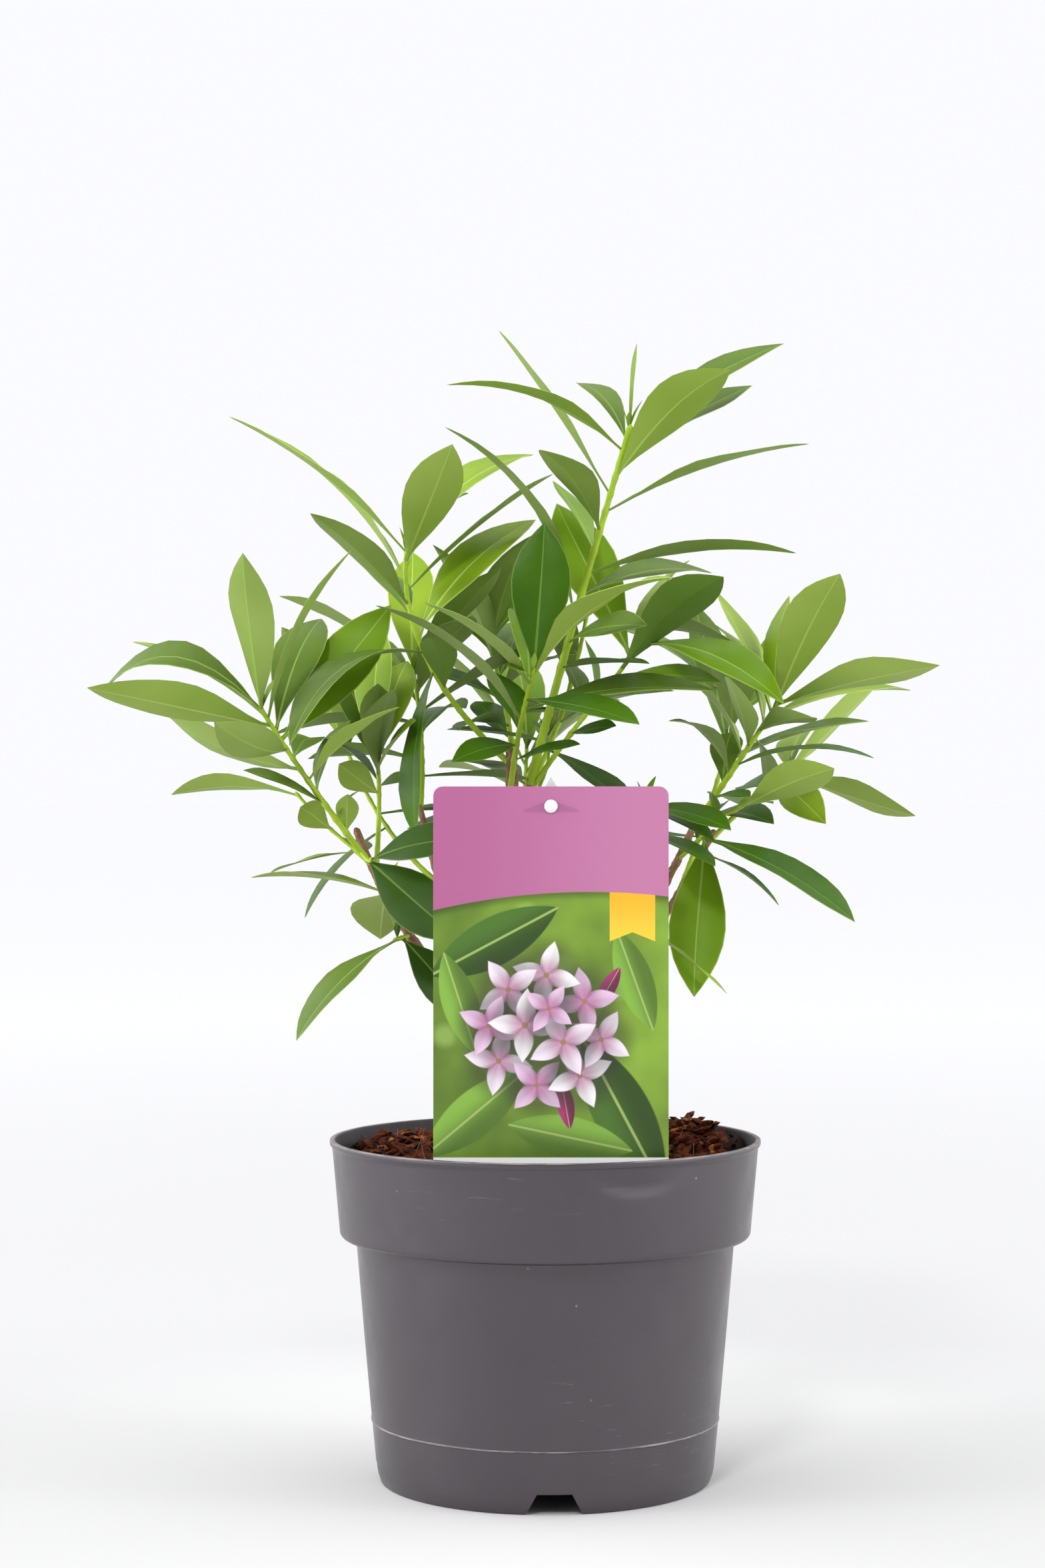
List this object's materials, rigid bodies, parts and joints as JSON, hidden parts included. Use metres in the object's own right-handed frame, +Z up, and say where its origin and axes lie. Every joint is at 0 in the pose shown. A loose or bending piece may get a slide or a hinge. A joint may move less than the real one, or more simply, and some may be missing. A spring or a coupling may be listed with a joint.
{
  "type": "potted daphne shrub",
  "caption": "Young evergreen flowering shrub in its round nursery pot, with slim branching stems, long pointed leaves and an upright picture label.",
  "frame": {"origin": "middle of the flat underside of the pot", "axes": "+Z up the trunk, -Y towards the side that the label faces, +X to the right of a viewer who reads the label"},
  "size_m": [0.3595, 0.2585, 0.508],
  "materials": {
    "pot": "matt grey-brown moulded plastic with faint scuffs",
    "soil": "loose, dry bark chips and peat",
    "bark": "thin, smooth brown bark with small scars",
    "foliage": "leathery green leaves with a soft sheen on pale green shoots",
    "label_card": "printed satin plastic card",
    "label_stake": "clear to milky plastic"
  },
  "bodies": {
    "root": {"pot": "pot", "potting_soil": "soil", "label_card": "label_card", "label_stake": "label_stake", "trunk": "bark", "bough_centre": "bark", "bough_left": "bark", "bough_right": "bark", "bough_back_left": "bark", "bough_back_right": "bark", "bough_back": "bark", "bough_centre_fork": "bark", "foliage_back_centre": "foliage", "foliage_back_high": "foliage", "foliage_back_left": "foliage", "foliage_back_left_side": "foliage", "foliage_back_low": "foliage", "foliage_back_right": "foliage", "foliage_back_right_side": "foliage", "foliage_centre": "foliage", "foliage_leader": "foliage", "foliage_left_behind": "foliage", "foliage_left_low": "foliage", "foliage_left_under": "foliage", "foliage_left_upright": "foliage", "foliage_mid_right": "foliage", "foliage_right": "foliage", "foliage_right_inner": "foliage", "foliage_right_low": "foliage", "foliage_right_under": "foliage", "foliage_small_centre": "foliage", "foliage_upper_left": "foliage"}
  },
  "joints": []
}
